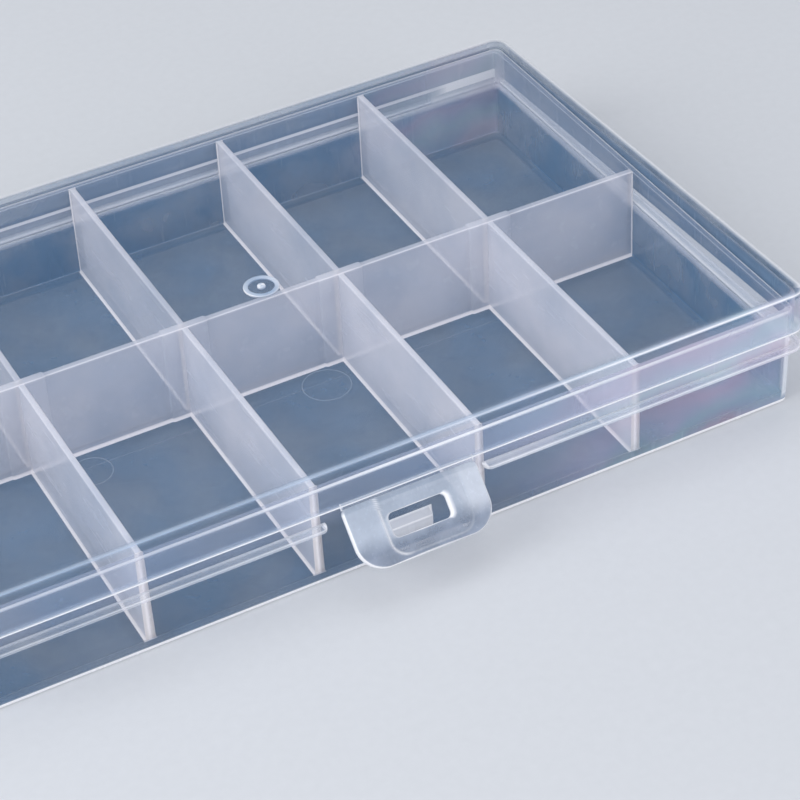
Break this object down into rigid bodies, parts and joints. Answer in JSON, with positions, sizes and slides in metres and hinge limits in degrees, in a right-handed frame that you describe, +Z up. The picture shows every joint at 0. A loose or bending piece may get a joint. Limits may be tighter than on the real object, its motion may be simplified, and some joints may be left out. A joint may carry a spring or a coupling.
{
  "type": "craft supply organizer",
  "caption": "Shallow clear rectangular box split into equal fixed cells, with a film-hinged lid and a slotted snap latch tab, for sorting small craft supplies.",
  "frame": {"origin": "middle of the tray's flat foot, on the surface that it stands on", "axes": "+X along the box's length, +Y from the latch towards the hinge, +Z up"},
  "size_m": [0.128, 0.0949, 0.0198],
  "materials": {
    "tray_plastic": "clear moulded polypropylene, glossy",
    "divider_plastic": "milky clear moulded polypropylene, satin",
    "lid_plastic": "clear moulded polypropylene, glossy",
    "latch_plastic": "milky clear moulded polypropylene, flow marks",
    "film_plastic": "thin flexed polypropylene film"
  },
  "bodies": {
    "base": {"tray_shell": "tray_plastic", "centre_wall": "divider_plastic", "front_divider_1": "divider_plastic", "front_divider_2": "divider_plastic", "front_divider_3": "divider_plastic", "front_divider_4": "divider_plastic", "back_divider_1": "divider_plastic", "back_divider_2": "divider_plastic", "back_divider_3": "divider_plastic", "back_divider_4": "divider_plastic", "ledge_left": "tray_plastic", "ledge_right": "tray_plastic", "ledge_back": "tray_plastic", "ledge_front_left": "tray_plastic", "ledge_front_right": "tray_plastic", "catch_nib": "tray_plastic", "base_hinge_lip": "tray_plastic", "hinge_film": "film_plastic"},
    "lid": {"lid_shell": "lid_plastic", "gate_mark": "lid_plastic", "gate_stub": "lid_plastic", "lid_hinge_lip": "lid_plastic", "latch_film": "film_plastic"},
    "latch": {"latch_tab": "latch_plastic"}
  },
  "joints": [
    {"name": "lid_hinge", "type": "hinge", "parent": "base", "child": "lid", "pos_m": [0, 0.04515, 0.0105], "axis": [-1, 0, 0], "range_deg": [-1.65, 178.35], "stiffness_Nm_per_rad": 0.01, "springref_deg": 28.65, "deforming": ["hinge_film"]},
    {"name": "latch_flex", "type": "hinge", "parent": "lid", "child": "latch", "pos_m": [0.0004, -0.04247, 0.01277], "axis": [-1, 0, 0], "range_deg": [-33, 47], "stiffness_Nm_per_rad": 0.002, "deforming": ["latch_film"]}
  ]
}
